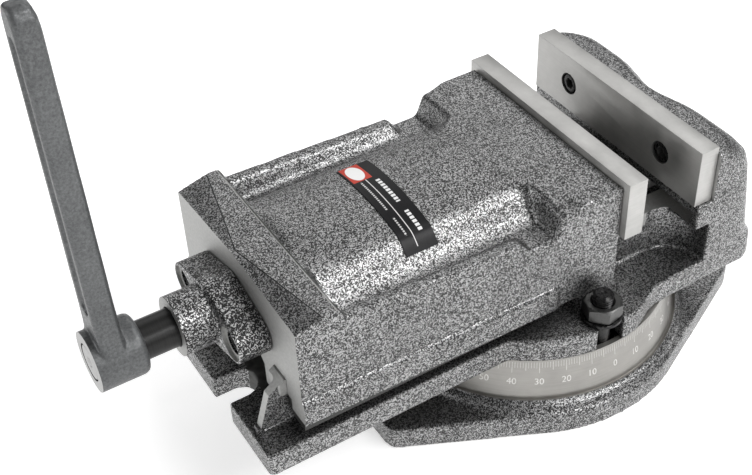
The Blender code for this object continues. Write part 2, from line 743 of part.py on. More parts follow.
def make_crank_handle():
    profile = [
        (0.0, HUB_FRONT),
        (HUB_R - 1.2, HUB_FRONT),
        (HUB_R, HUB_FRONT + 1.2),
        (HUB_R, HUB_BACK - 2.6),
        (HUB_R - 0.8, HUB_BACK - 0.8),
        (HUB_R - 2.6, HUB_BACK),
        (0.0, HUB_BACK),
    ]
    hub = turned(profile, (0.0, SCREW_Z), "X", steps=40)
    origin = (HUB_BACK, 0.0, SCREW_Z)
    crank = object_from("crank_handle", hub, CAST_GREY, origin)
    levels = [
        (SCREW_Z - 4.0, 12.5, -213.4),
        (SCREW_Z + 8.0, 11.2, -213.5),
        (SCREW_Z + 15.0, 9.9, -213.6),
        (SCREW_Z + 22.0, 9.2, -213.8),
        (SCREW_Z + 40.0, 8.9, -214.2),
        (ARM_TIP_Z - 10.0, 7.0, -216.0),
        (ARM_TIP_Z - 5.0, 6.4, -216.3),
        (ARM_TIP_Z - 1.5, 4.6, -217.2),
        (ARM_TIP_Z, 2.6, -218.6),
    ]
    arm = loft([arm_section(*level) for level in levels])
    boolean(crank, object_from("crank_arm", arm), "UNION")
    groove_half = 4.0
    outline = arc((0.0, 124.0), groove_half, 180.0, 360.0, 8)
    outline += arc((0.0, ARM_TIP_Z - 16.0), groove_half - 0.6, 0.0, 180.0, 8)
    outer = [(HUB_FRONT - 5.0, y, z) for y, z in outline]
    floor = [(arm_front(z) + 1.6, y, z) for y, z in outline]
    boolean(crank, object_from("crank_groove", loft([outer, floor])))
    place = (SET_SCREW_X, 0.0)
    hole = rod(3.0 + GAP, SCREW_Z - 30.0, SCREW_Z - 5.0, place, steps=14)
    boolean(crank, object_from("crank_set_screw_hole", hole))
    bore = rod(CRANK_BORE_R + GAP, -235.0, -200.0, (0.0, SCREW_Z), "X", steps=32)
    boolean(crank, object_from("crank_bore", bore))
    boolean(crank, object_from("crank_keyway", box(*crank_keyway(GAP))))


def make_crank_fixings():
    low, high = crank_keyway(0.0)
    object_from("crank_key", box(low, high), STEEL)
    place = (SET_SCREW_X, 0.0)
    head_z = SCREW_Z - HUB_R + 1.2
    body = rod(3.0, head_z, SCREW_Z - CRANK_BORE_R - GAP, place, steps=16)
    screw = object_from("crank_set_screw", body, BLACK_STEEL, (*place, head_z))
    socket = prism(hex_outline(place, 3.0), head_z - 2.0, head_z + 2.4)
    boolean(screw, object_from("crank_set_screw_socket", socket))


def make_clamps():
    """Each side's T-bolt, washer and nut, which lock the body to the base."""
    washer_low = BED_TOP + GAP
    washer_high = washer_low + 1.8
    nut_low = washer_high + GAP
    nut_high = nut_low + 7.5
    bolt_top = 68.0
    for side, name in ((1.0, "far"), (-1.0, "near")):
        centre = (CLAMP_X, side * CLAMP_Y)
        shank = [(0.0, 27.0), (5.0, 27.0), (5.0, bolt_top - 1.0), (4.0, bolt_top), (0.0, bolt_top)]
        bolt = object_from(
            f"clamp_bolt_{name}", turned(shank, centre, steps=24), BLACK_STEEL, (*centre, 22.5)
        )
        x, y = centre
        head = box((x - 7.0, y - 6.2, 22.5), (x + 7.0, y + 6.2, 30.5))
        boolean(bolt, object_from(f"clamp_bolt_head_{name}", head), "UNION")
        ring = [(5.4, washer_low), (10.0, washer_low), (10.0, washer_high), (5.4, washer_high)]
        washer = turned(ring, centre, steps=32)
        object_from(f"clamp_washer_{name}", washer, BLACK_STEEL, (*centre, washer_low))
        outline = hex_outline(centre, 17.0, 12.0)
        nut = object_from(
            f"clamp_nut_{name}",
            prism(outline, nut_low, nut_high),
            BLACK_STEEL,
            (*centre, nut_low),
        )
        bore = rod(5.3, nut_low - 3.0, nut_high + 3.0, centre, steps=24)
        boolean(nut, object_from(f"clamp_nut_bore_{name}", bore))


def make_nameplate():
    """A thin blank label, wrapped over the crown."""
    low_x = -92.0
    high_x = -75.5
    steps = 12
    low_y = -36.0
    high_y = 24.0
    ys = [mix(low_y, high_y, i / steps) for i in range(steps + 1)]
    under = [(y, carriage_top(-80.0, y) + 2.0 * GAP) for y in ys]
    over = [(y, z + 0.5) for y, z in reversed(under)]
    object_from("nameplate", prism(under + over, low_x, high_x, "X"), LABEL)


def main():
    clear_scene()
    make_swivel_base()
    make_pivot_pin()
    make_vise_body()
    make_plate("fixed_jaw_plate", FIXED_FACE, FIXED_FACE + PLATE_THICKNESS, FIXED_FACE)
    make_plate("moving_jaw_plate", MOVING_FACE - PLATE_THICKNESS, MOVING_FACE, MOVING_FACE)
    make_plate_screws()
    make_moving_jaw()
    make_keepers()
    make_bearing_flange()
    make_lead_screw()
    make_thrust_washers()
    make_screw_nut()
    make_crank_handle()
    make_crank_fixings()
    make_clamps()
    make_nameplate()


main()
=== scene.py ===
"""Looks for the rotary machine vise: rounded castings, crisp machined faces, procedural materials.

Lengths are millimetres until MM turns them into metres. The castings are shaped in two steps, as
the real ones are: a blank is given soft cast edges, then machined faces are cut into it.
"""

import math

import bmesh
import bpy
import numpy as np
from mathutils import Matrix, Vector


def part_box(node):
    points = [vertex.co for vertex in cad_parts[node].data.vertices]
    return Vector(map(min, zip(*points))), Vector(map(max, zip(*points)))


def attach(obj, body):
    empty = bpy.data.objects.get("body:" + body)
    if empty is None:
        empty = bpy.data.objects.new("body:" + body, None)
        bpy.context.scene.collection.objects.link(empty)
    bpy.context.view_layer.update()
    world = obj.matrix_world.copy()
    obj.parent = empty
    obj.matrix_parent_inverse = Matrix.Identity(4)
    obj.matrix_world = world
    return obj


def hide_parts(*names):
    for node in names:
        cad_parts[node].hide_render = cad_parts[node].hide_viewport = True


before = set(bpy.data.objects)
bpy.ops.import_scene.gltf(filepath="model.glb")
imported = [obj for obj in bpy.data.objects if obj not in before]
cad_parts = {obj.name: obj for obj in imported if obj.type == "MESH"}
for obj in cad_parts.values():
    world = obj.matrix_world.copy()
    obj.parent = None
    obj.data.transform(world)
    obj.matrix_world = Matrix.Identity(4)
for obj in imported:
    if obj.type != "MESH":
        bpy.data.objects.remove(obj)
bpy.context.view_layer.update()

MM = 0.001
SPARE = 1.5  # metal left on a blank where a face is machined later
# The third slot holds painted shade: a dark colour for holes, bores and hollows where shade falls.
PAINT, BARE, SHADED = 0, 1, 2  # material slots of every casting
SLOT_NAMES = ("paint", "bare", "dark")

# Moving jaw: its two end faces, its skirt, its sides, and the heights of its top.
JAW_END, JAW_FRONT, SKIRT_BOTTOM = -158.0, 9.2, 63.5
JAW_HALF_END, JAW_HALF_MIDDLE = 56.0, 58.6
WALL_TOP, HEAD_FLAT, VALLEY_FLOOR = 120.8, 119.35, 106.0
WALL_BACK, HEAD_RIDGE = -137.2, -7.1

# Vise body: the two rails that guide the jaw, the fixed jaw's seat, and the rails' webs.
RAIL_BOTTOM, RAIL_TOP = 69.8, 78.8
RAIL_INNER, RAIL_OUTER = 31.5, 42.0
FIXED_FRONT = 63.3
WEB_FOOT_Z = 54.9

# Lead screw, bearing flange and crank hub, along the screw's axis.
SCREW_Z = 93.3
FLANGE_FRONT, BOSS_FRONT = -172.0, -189.6
HUB_FRONT = -228.0
SHAFT_R, THREAD_R, ROOT_R = 9.0, 8.7, 7.2
THREAD_PITCH = 5.0

# Base: the dial is a cone between the collar and the swivel face.
COLLAR_TOP, DIAL_TOP = 17.5, 39.7
DIAL_FOOT_R, DIAL_TOP_R = 78.3, 74.0

# Jaw plates, and where the screws and clamps sit.
FIXED_FACE, MOVING_FACE = 52.5, 20.3
PLATE_HALF, PLATE_BOTTOM, PLATE_TOP, PLATE_THICKNESS = 62.5, 91.3, 123.0, 10.5
PLATE_SCREW_Y, PLATE_SCREW_Z = 35.4, 107.2
BEARING_SCREW_Y = 23.4
CLAMP_X, CLAMP_Y = -3.0, 66.232


# ---------------------------------------------------------------- shapes


def object_of(name, bm):
    bmesh.ops.recalc_face_normals(bm, faces=bm.faces)
    mesh = bpy.data.meshes.new(name)
    bm.to_mesh(mesh)
    bm.free()
    obj = bpy.data.objects.new(name, mesh)
    bpy.context.scene.collection.objects.link(obj)
    return obj


def loft(sections, closed=True):
    bm = bmesh.new()
    rings = [[bm.verts.new(Vector(p) * MM) for p in section] for section in sections]
    for low, high in zip(rings, rings[1:]):
        for i in range(len(low) if closed else len(low) - 1):
            j = (i + 1) % len(low)
            bm.faces.new((low[i], low[j], high[j], high[i]))
    if closed:
        bm.faces.new(reversed(rings[0]))
        bm.faces.new(rings[-1])
    return bm


def prism(outline, low, high, axis="Z"):
    place = {
        "Z": lambda a, b, c: (a, b, c),
        "Y": lambda a, b, c: (a, c, b),
        "X": lambda a, b, c: (c, a, b),
    }[axis]
    return loft([[place(a, b, c) for a, b in outline] for c in (low, high)])


def block(low, high):
    outline = [(low[0], low[1]), (high[0], low[1]), (high[0], high[1]), (low[0], high[1])]
    return prism(outline, low[2], high[2])


def arc(centre, radius, start_deg, end_deg, steps):
    turns = [math.radians(start_deg + (end_deg - start_deg) * i / steps) for i in range(steps + 1)]
    return [(centre[0] + radius * math.cos(t), centre[1] + radius * math.sin(t)) for t in turns]


def turned(profile, centre, axis="Z", steps=96):
    """A closed (radius, height) profile spun round an axis; radius 0 closes on the axis."""
    place = {
        "Z": lambda a, b, c: (centre[0] + a, centre[1] + b, c),
        "X": lambda a, b, c: (c, centre[0] + a, centre[1] + b),
    }[axis]
    bm = bmesh.new()
    rings = []
    for radius, height in profile:
        spots = [(0.0, 0.0)] if radius == 0.0 else arc((0.0, 0.0), radius, 0.0, 360.0, steps)[:-1]
        rings.append([bm.verts.new(Vector(place(a, b, height)) * MM) for a, b in spots])
    pairs = list(zip(rings, rings[1:]))
    if profile[0][0] > 0.0:
        pairs.append((rings[-1], rings[0]))
    for first, second in pairs:
        for i in range(steps):
            j = (i + 1) % steps
            corners = [first[i % len(first)], first[j % len(first)]]
            corners += [second[j % len(second)], second[i % len(second)]]
            bm.faces.new(list(dict.fromkeys(corners)))
    return bm


def bake_modifiers(obj):
    """Replaces an object's mesh by what its modifiers make of it."""
    graph = bpy.context.evaluated_depsgraph_get()
    made = bpy.data.meshes.new_from_object(obj.evaluated_get(graph))
    old = obj.data
    obj.modifiers.clear()
    obj.data = made
    bpy.data.meshes.remove(old)
    return obj


def apply_boolean(obj, bm, operation="DIFFERENCE", finish=PAINT):
    """Cuts or joins a shape now; new faces get the material slot given."""
    tool = object_of("tool", bm)
    with_slots(tool)
    for face in tool.data.polygons:
        face.material_index = finish
    modifier = obj.modifiers.new("cut", "BOOLEAN")
    modifier.operation = operation
    modifier.object = tool
    modifier.solver = "MANIFOLD"
    bake_modifiers(obj)
    bpy.data.objects.remove(tool, do_unlink=True)
    return obj


def placeholder(name):
    return bpy.data.materials.get(name) or bpy.data.materials.new(name)


def with_slots(obj):
    obj.data.materials.clear()
    for name in SLOT_NAMES:
        obj.data.materials.append(placeholder(name))
    return obj


def cast_edges(obj, voxel, steps):
    """Soft cast edges: a voxel remesh, then smoothing."""
    remesh = obj.modifiers.new("voxels", "REMESH")
    remesh.mode = "VOXEL"
    remesh.voxel_size = voxel * MM
    smooth = obj.modifiers.new("smooth", "SMOOTH")
    smooth.factor = 0.5
    smooth.iterations = steps
    bake_modifiers(obj)
    return with_slots(obj)


def blank_from(node, name, move):
    """A copy of a CAD node's surface, with its points moved by a function of mm coordinates."""
    bm = bmesh.new()
    bm.from_mesh(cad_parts[node].data)
    bmesh.ops.remove_doubles(bm, verts=bm.verts, dist=2e-6)
    for vert in bm.verts:
        x, y, z = vert.co / MM
        vert.co = Vector(move(x, y, z)) * MM
    bm.verts.index_update()
    points = [tuple(vert.co) for vert in bm.verts]
    faces = [[vert.index for vert in face.verts] for face in bm.faces]
    mesh = bpy.data.meshes.new(name)
    mesh.from_pydata(points, [], faces)
    bm.free()
    obj = bpy.data.objects.new(name, mesh)
    bpy.context.scene.collection.objects.link(obj)
    return obj


def near(a, b, tolerance=0.03):
    return abs(a - b) < tolerance


def mix(a, b, t):
    return a + (b - a) * t


def smooth_step(value, low, high):
    t = min(max((value - low) / (high - low), 0.0), 1.0)
    return t * t * (3.0 - 2.0 * t)


def refinish(obj, rule):
    """Sets face finishes by a rule of mm centre and normal, given as arrays."""
    count = len(obj.data.polygons)
    centres = np.zeros(count * 3)
    normals = np.zeros(count * 3)
    index = np.zeros(count, np.int32)
    obj.data.polygons.foreach_get("center", centres)
    obj.data.polygons.foreach_get("normal", normals)
    obj.data.polygons.foreach_get("material_index", index)
    index = rule(centres.reshape(-1, 3) / MM, normals.reshape(-1, 3), index).astype(np.int32)
    obj.data.polygons.foreach_set("material_index", index)


def dress(obj, body, materials, nodes=(), sharp_deg=28.0):
    """Materials, shading, and the piece's place in the frame."""
    for i, each in enumerate(materials):
        if i < len(obj.data.materials):
            obj.data.materials[i] = each
        else:
            obj.data.materials.append(each)
    obj.data.shade_smooth()
    obj.data.set_sharp_from_angle(angle=math.radians(sharp_deg))
    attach(obj, body)
    if nodes:
        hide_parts(*nodes)
    return obj


# ---------------------------------------------------------------- materials


def node(tree, kind, inputs=(), **settings):
    """A shader node; each input is a plain value or another node's output."""
    made = tree.nodes.new("ShaderNode" + kind)
    for key, value in settings.items():
        setattr(made, key, value)
    for key, value in dict(inputs).items():
        if isinstance(value, bpy.types.NodeSocket):
            tree.links.new(value, made.inputs[key])
        else:
            made.inputs[key].default_value = value
    return made


def math_node(tree, operation, *values, clamp=False):
    made = node(tree, "Math", {}, operation=operation, use_clamp=clamp)
    for i, value in enumerate(values):
        if isinstance(value, bpy.types.NodeSocket):
            tree.links.new(value, made.inputs[i])
        else:
            made.inputs[i].default_value = value
    return made.outputs[0]


def ramp(tree, factor, stops):
    made = node(tree, "ValToRGB", {"Fac": factor})
    elements = made.color_ramp.elements
    while len(elements) < len(stops):
        elements.new(0.5)
    for element, (place, shade) in zip(elements, stops):
        element.position = place
        colour = shade if isinstance(shade, tuple) else (shade, shade, shade)
        element.color = (*colour, 1.0)
    return made.outputs["Color"]


def start(name):
    """A new material's tree, its Principled node, and its coordinates in millimetres."""
    made = bpy.data.materials.new(name)
    made.use_nodes = True
    tree = made.node_tree
    shader = tree.nodes["Principled BSDF"]
    place = node(tree, "TexCoord").outputs["Object"]
    scaled = node(tree, "VectorMath", {0: place, 1: (1000.0, 1000.0, 1000.0)}, operation="MULTIPLY")
    return made, tree, shader, scaled.outputs[0]


def noise(tree, place, scale, detail=2.0, roughness=0.5, distortion=0.0):
    inputs = {
        "Vector": place,
        "Scale": scale,
        "Detail": detail,
        "Roughness": roughness,
        "Distortion": distortion,
    }
    return node(tree, "TexNoise", inputs).outputs["Fac"]


def stretched(tree, place, scale):
    return node(tree, "VectorMath", {0: place, 1: scale}, operation="MULTIPLY").outputs[0]


def bump(tree, shader, height, strength, distance_mm):
    made = node(
        tree, "Bump", {"Height": height, "Strength": strength, "Distance": distance_mm * MM}
    )
    tree.links.new(made.outputs["Normal"], shader.inputs["Normal"])


def wire(tree, shader, **inputs):
    names = {"colour": "Base Color", "roughness": "Roughness", "metallic": "Metallic"}
    for key, value in inputs.items():
        socket = shader.inputs[names.get(key, key)]
        if isinstance(value, bpy.types.NodeSocket):
            tree.links.new(value, socket)
        elif isinstance(value, tuple):
            socket.default_value = (*value, 1.0)
        else:
            socket.default_value = value


def hammertone(name, scale, dark, light, cover):
    """Hammertone enamel: silver flake broken by dark worm-like pits."""
    made, tree, shader, place = start(name)
    worm = noise(tree, place, scale, 1.5, 0.5, 0.5)
    away = math_node(tree, "ABSOLUTE", math_node(tree, "SUBTRACT", worm, 0.5))
    speck = noise(tree, place, scale * 1.9, 2.0, 0.6)
    patchy = noise(tree, place, 0.04, 2.0)
    level = math_node(tree, "ADD", math_node(tree, "MULTIPLY", away, 3.6), speck)
    level = math_node(tree, "ADD", level, math_node(tree, "MULTIPLY", patchy, 0.10))
    level = math_node(tree, "SUBTRACT", level, cover)
    colour = ramp(
        tree, level, [(0.0, dark), (0.19, dark * 2.0), (0.27, light * 0.75), (0.42, light)]
    )
    gloss = ramp(tree, level, [(0.05, 0.46), (0.4, 0.34)])
    metal = ramp(tree, level, [(0.14, 0.2), (0.28, 0.95)])
    wire(tree, shader, colour=colour, roughness=gloss, metallic=metal)
    wire(tree, shader, **{"Coat Weight": 0.12, "Coat Roughness": 0.2})
    bump(tree, shader, level, 0.35, 0.22)
    return made


def machined(name, shade, rough, lines, seed_scale):
    """Bare machined metal with tool lines running along one direction."""
    made, tree, shader, place = start(name)
    grain = noise(tree, stretched(tree, place, lines), 1.0, 4.0, 0.65)
    mottle = noise(tree, place, seed_scale, 3.0, 0.6)
    both = math_node(tree, "ADD", math_node(tree, "MULTIPLY", grain, 0.6), mottle)
    low = tuple(c * 0.68 for c in shade)
    colour = ramp(tree, math_node(tree, "MULTIPLY", both, 0.62), [(0.30, low), (0.66, shade)])
    gloss = ramp(tree, both, [(0.4, rough - 0.07), (1.1, rough + 0.1)])
    wire(tree, shader, colour=colour, roughness=gloss, metallic=0.85)
    bump(tree, shader, grain, 0.22, 0.05)
    return made


def black_oxide(name):
    made, tree, shader, place = start(name)
    wear = noise(tree, place, 0.6, 4.0, 0.6)
    colour = ramp(tree, wear, [(0.40, (0.012, 0.012, 0.013)), (0.75, (0.055, 0.054, 0.052))])
    gloss = ramp(tree, wear, [(0.35, 0.22), (0.7, 0.42)])
    wire(tree, shader, colour=colour, roughness=gloss, metallic=0.75)
    bump(tree, shader, noise(tree, place, 2.0, 3.0), 0.12, 0.05)
    return made


def polished_black(name):
    """The shaft: blackened, turned smooth and oiled."""
    made, tree, shader, place = start(name)
    lines = noise(tree, stretched(tree, place, (3.0, 0.05, 0.05)), 1.0, 3.0)
    colour = ramp(tree, lines, [(0.3, (0.006, 0.006, 0.006)), (0.7, (0.014, 0.014, 0.013))])
    wire(tree, shader, colour=colour, roughness=0.34, metallic=0.0)
    wire(tree, shader, **{"Specular IOR Level": 0.28})
    bump(tree, shader, lines, 0.12, 0.03)
    return made


def satin_casting(name):
    """The crank: a shot-blasted casting under thin grey paint."""
    made, tree, shader, place = start(name)
    grain = noise(tree, place, 0.9, 5.0, 0.68)
    broad = noise(tree, place, 0.05, 2.0)
    both = math_node(tree, "ADD", grain, math_node(tree, "MULTIPLY", broad, 0.35))
    colour = ramp(tree, both, [(0.45, (0.070, 0.072, 0.074)), (0.95, (0.165, 0.170, 0.172))])
    gloss = ramp(tree, grain, [(0.35, 0.50), (0.7, 0.33)])
    wire(tree, shader, colour=colour, roughness=gloss, metallic=0.55)
    bump(tree, shader, grain, 0.5, 0.16)
    return made


def bronze(name):
    made, tree, shader, place = start(name)
    grain = noise(tree, stretched(tree, place, (2.0, 0.4, 0.4)), 1.0, 4.0)
    colour = ramp(tree, grain, [(0.35, (0.36, 0.22, 0.09)), (0.7, (0.60, 0.42, 0.20))])
    wire(tree, shader, colour=colour, roughness=0.36, metallic=1.0)
    bump(tree, shader, grain, 0.15, 0.05)
    return made


def dark_recess(name):
    """Painted shade for unlit corners, holes and bores, mottled a little."""
    made, tree, shader, place = start(name)
    shade_mottle = noise(tree, place, 0.25, 4.0)
    colour = ramp(tree, shade_mottle, [(0.35, (0.035, 0.035, 0.034)), (0.7, (0.10, 0.10, 0.097))])
    wire(tree, shader, colour=colour, roughness=0.5, metallic=0.4)
    bump(tree, shader, shade_mottle, 0.2, 0.1)
    return made


paint = hammertone("hammertone_paint", 0.95, 0.005, 0.39, 0.585)
coarse_paint = hammertone("coarse_hammertone", 0.85, 0.002, 0.50, 0.66)
bare = machined("bare_casting", (0.50, 0.50, 0.49), 0.50, (0.35, 0.35, 2.2), 0.9)
ground = machined("ground_steel", (0.54, 0.535, 0.52), 0.40, (0.10, 0.04, 3.2), 0.06)
dial_metal = machined("dial_steel", (0.38, 0.37, 0.35), 0.36, (0.05, 0.05, 4.0), 0.05)
light_ink = machined("engraved_edge", (0.75, 0.74, 0.72), 0.40, (0.5, 0.5, 0.5), 0.5)
nut_steel = machined("nut_steel", (0.10, 0.10, 0.098), 0.28, (0.3, 0.3, 1.0), 0.4)
dark_steel = machined("dark_steel", (0.06, 0.06, 0.058), 0.42, (0.2, 0.2, 1.0), 0.3)
turned_face = machined("turned_face", (0.46, 0.46, 0.455), 0.40, (0.4, 1.6, 1.6), 0.5)
oxide = black_oxide("black_oxide")
satin = satin_casting("satin_casting")
bushing = bronze("bearing_bronze")
# Painted shade: the dark colour of every part's third slot, for holes, bores and hollows.
recess_shade = dark_recess("dark_recess")
polished = polished_black("polished_black")


# ---------------------------------------------------------------- moving jaw


def jaw_half(x):
    return mix(JAW_HALF_END, JAW_HALF_MIDDLE, (x - JAW_END) / -JAW_END)


def crease_x(y):
    """Where the wall's plateau ends and its front facets begin: a shallow V across the jaw."""
    return JAW_END + 2.0 + (13.0 if y > 0.0 else 11.0) * abs(y) / JAW_HALF_END


def wall_top(x, y):
    """Height of the wall at the jaw's crank end: flat, then falling away in front of the crease."""
    if x >= crease_x(y):
        return WALL_TOP
    front = mix(WALL_TOP - 0.4, 117.0, min(abs(y) / JAW_HALF_END, 1.0))
    return mix(front, WALL_TOP, (x - JAW_END) / (crease_x(y) - JAW_END))


def jaw_top(x, y):
    """Height of the jaw's top: end wall, crown between two scooped valleys, outer rails, head."""
    wall = wall_top(x, y)
    y = abs(y)
    crown = 122.0 - 0.0045 * y * y
    rail = mix(115.3, 111.5, (x + 137.0) / 91.0)
    outer = mix(rail, VALLEY_FLOOR, smooth_step(x, -46.0, -40.0))
    if y < 45.0:
        channel = mix(crown, VALLEY_FLOOR, smooth_step(y, 28.0, 45.0))
    else:
        channel = mix(VALLEY_FLOOR, outer, smooth_step(y, 46.0, 52.5))
    head = mix(121.1, HEAD_FLAT + 0.6, smooth_step(x, -24.0, -9.0))
    head -= 0.0012 * y * y * (1.0 - smooth_step(x, -22.0, -9.0))
    head_start = -36.0 + 7.5 * smooth_step(y, 24.0, 34.0)
    top = mix(channel, head, smooth_step(x, head_start, head_start + 6.5))
    return mix(wall, top, smooth_step(x, -137.0, -134.2))


def make_jaw():
    blank_end, blank_bottom, above = JAW_END - 2.4, SKIRT_BOTTOM - 2.5, 124.0
    nut_bay, past_end = 20.7, -163.0
    xs = np.concatenate([np.arange(blank_end, -130.0, 0.8), np.arange(-130.0, -50.0, 2.5)])
    xs = np.concatenate([xs, np.arange(-50.0, 11.6, 1.0)])
    sections = []
    for x in xs:
        half = jaw_half(x)
        ys = np.linspace(-half, half, 101)
        top = [(x, y, jaw_top(max(x, JAW_END), y)) for y in ys]
        sections.append([(x, -half, blank_bottom), *top, (x, half, blank_bottom)])
    jaw = with_slots(object_of("moving_jaw_casting", loft(sections)))
    # Two legs beside the screw nut's bay.
    for side in (1.0, -1.0):
        low, high = sorted((side * 20.6, side * 33.0))
        apply_boolean(jaw, block((blank_end, low, 58.0), (-9.0, high, 70.0)), "UNION")
    apply_boolean(jaw, block((-139.0, -nut_bay, 50.0), (-8.0, nut_bay, 110.5)), "DIFFERENCE")
    cast_edges(jaw, 0.8, 8)
    # The band that stands proud along each skirt.
    for side in (1.0, -1.0):
        sections = []
        for x in (blank_end, -120.0, -60.0, -26.0, -22.5):
            out = jaw_half(x) + (1.6 if x < -23.0 else 0.1)
            shape = [(50.0, blank_bottom), (out, blank_bottom), (out, 75.0), (out - 0.3, 75.8)]
            shape += [(out - 1.6, 76.95), (out - 2.2, 77.3), (50.0, 77.3)]
            sections.append([(x, side * y, z) for y, z in shape])
        apply_boolean(jaw, loft(sections), "UNION")
    # The crease, a groove coloured with painted shade for its dark line, and the thin lands along
    # the wall and the head, whose light bare colour is a painted edge highlight.
    sections = []
    for y in (-60.0, 0.0, 60.0):
        x = crease_x(y)
        low = (x, y, WALL_TOP - 0.5)
        sections.append([(x - 0.75, y, WALL_TOP + 0.5), (x + 0.5, y, WALL_TOP + 0.5), low])
    apply_boolean(jaw, loft(sections), finish=SHADED)
    # A narrow step at the wall's back edge; its light bare colour is a painted highlight along that
    # edge.
    highlight_land = [(WALL_BACK - 1.1, WALL_TOP - 0.3), (WALL_BACK, WALL_TOP - 0.7)]
    highlight_land += [(WALL_BACK, above), (WALL_BACK - 1.1, above)]
    apply_boolean(jaw, prism(highlight_land, -57.5, 57.5, "Y"), finish=BARE)
    # A narrow strip on the head's ridge; its light bare colour is a painted highlight along the
    # edge.
    highlight_ridge = [(HEAD_RIDGE - 0.8, HEAD_FLAT + 0.55), (HEAD_RIDGE, HEAD_FLAT - 0.05)]
    highlight_ridge += [(HEAD_RIDGE, above), (HEAD_RIDGE - 0.8, above)]
    apply_boolean(jaw, prism(highlight_ridge, -60.0, 60.0, "Y"), finish=BARE)
    flat = [(-7.3, HEAD_FLAT), (12.0, HEAD_FLAT), (12.0, above), (-7.3, above)]
    apply_boolean(jaw, prism(flat, -62.0, 62.0, "Y"), finish=PAINT)
    # Machining: both end faces, the underside, and the ways for the rails.
    apply_boolean(jaw, block((-175.0, -80.0, 40.0), (JAW_END, 80.0, 140.0)), finish=BARE)
    apply_boolean(jaw, block((JAW_FRONT, -80.0, 40.0), (25.0, 80.0, 140.0)), finish=BARE)
    arch = [(-nut_bay, 50.0), (nut_bay, 50.0), (nut_bay, 70.0)]
    arch += [(17.3, 73.4), (-17.3, 73.4), (-nut_bay, 70.0)]
    apply_boolean(jaw, prism(arch, past_end, -130.0, "X"), finish=BARE)
    for side in (1.0, -1.0):
        low, high = sorted((side * 33.0, side * 75.0))
        apply_boolean(jaw, block((past_end, low, 50.0), (40.0, high, SKIRT_BOTTOM)), finish=BARE)
        # The ways over the rails are coloured with painted shade.
        low, high = sorted((side * 31.2, side * 42.3))
        apply_boolean(jaw, block((past_end, low, 50.0), (40.0, high, 79.1)), finish=SHADED)
        low, high = sorted((side * 42.0, side * 45.7))
        apply_boolean(jaw, block((past_end, low, 50.0), (40.0, high, RAIL_BOTTOM)), finish=SHADED)
    # The bearing's pocket in the crank end, and the hole for the screw, both coloured with painted
    # shade.
    bore = [(0.0, -165.0), (13.5, -165.0), (13.5, -144.6), (9.5, -144.6)]
    bore += [(9.5, -130.0), (0.0, -130.0)]
    apply_boolean(jaw, turned(bore, (0.0, SCREW_Z), "X", 64), finish=SHADED)
    dress(jaw, "carriage", [paint, bare, recess_shade], ["moving_jaw"])


# ---------------------------------------------------------------- vise body


def make_body():
    def move(x, y, z):
        side = 1.0 if y > 0.0 else -1.0
        if near(z, RAIL_TOP) or (near(z, RAIL_TOP - 0.2) and x > 39.0):
            z += SPARE
        if near(abs(y), RAIL_OUTER) and z > 69.0 and x < 45.0:
            y += side * SPARE
        if near(abs(y), RAIL_INNER) and z > 69.0:
            y -= side * SPARE
        if near(x, FIXED_FRONT) and z > 92.0:
            x -= SPARE
        if x < -162.0 and 36.9 < abs(y) < 41.2 and z > WEB_FOOT_Z - 2.4:
            x -= 1.0
        return x, y, z

    bed_end = -165.0
    body = blank_from("vise_body", "vise_body_casting", move)
    cast_edges(body, 0.8, 9)
    for side in (1.0, -1.0):
        low, high = sorted((side * 29.0, side * 60.0))
        top = block((bed_end, low, RAIL_TOP), (62.6, high, 86.0))
        apply_boolean(body, top, finish=BARE)
        run_out = [(bed_end, side * RAIL_OUTER), (42.0, side * RAIL_OUTER)]
        run_out += [(x, side * y) for x, y in arc((42.0, 56.0), 14.0, -90.0, -35.0, 8)]
        run_out += [(53.4, side * 60.0), (bed_end, side * 60.0)]
        apply_boolean(body, prism(run_out, RAIL_BOTTOM, 79.5), finish=BARE)
        low, high = sorted((side * 25.0, side * RAIL_INNER))
        apply_boolean(body, block((bed_end, low, RAIL_BOTTOM), (62.0, high, 80.0)), finish=BARE)
    # The leaning web under each rail, and the machined face across both of them.
    web = [(-174.0, 53.0), (-166.0, 77.6), (JAW_END, 78.7), (JAW_END, 53.0)]
    ends = [(-180.0, WEB_FOOT_Z), (-172.0, WEB_FOOT_Z), (-166.6, 72.8), (JAW_END - 0.9, 78.7)]
    ends += [(JAW_END - 0.9, 90.0), (-180.0, 90.0)]
    for low, high in ((37.2, 41.3), (-41.3, -37.2)):
        apply_boolean(body, prism(web, low, high, "Y"), "UNION")
    apply_boolean(body, prism(ends, -46.0, 46.0, "Y"), finish=BARE)
    seat = block((FIXED_FRONT - 9.0, -70.0, 91.0), (FIXED_FRONT, 70.0, 130.0))
    apply_boolean(body, seat, finish=BARE)

    def rule(centre, normal, index):
        x, y, z = centre.T
        web_end = (x < -157.0) & (np.abs(y) > 36.0) & (np.abs(y) < 41.6) & (z > 54.5)
        rail_end = (x < -157.0) & (z > 69.0)
        index[(web_end | rail_end) & (normal[:, 0] < -0.5)] = BARE
        foot = (x < -157.0) & (z < 56.0) & (z > 54.0) & (normal[:, 2] > 0.7)
        index[foot] = PAINT
        # Painted shade: the floor and walls between the rails, under the jaw, are coloured dark.
        shaded_well = (np.abs(y) < 37.0) & (z < 70.0) & (x < 63.0) & (x > -160.0)
        index[shaded_well] = SHADED
        return index

    refinish(body, rule)
    dress(body, "vise_body", [paint, bare, recess_shade], ["vise_body"])


# ---------------------------------------------------------------- swivel base


def dial_radius(z):
    return mix(DIAL_FOOT_R, DIAL_TOP_R, (z - COLLAR_TOP) / (DIAL_TOP - COLLAR_TOP))


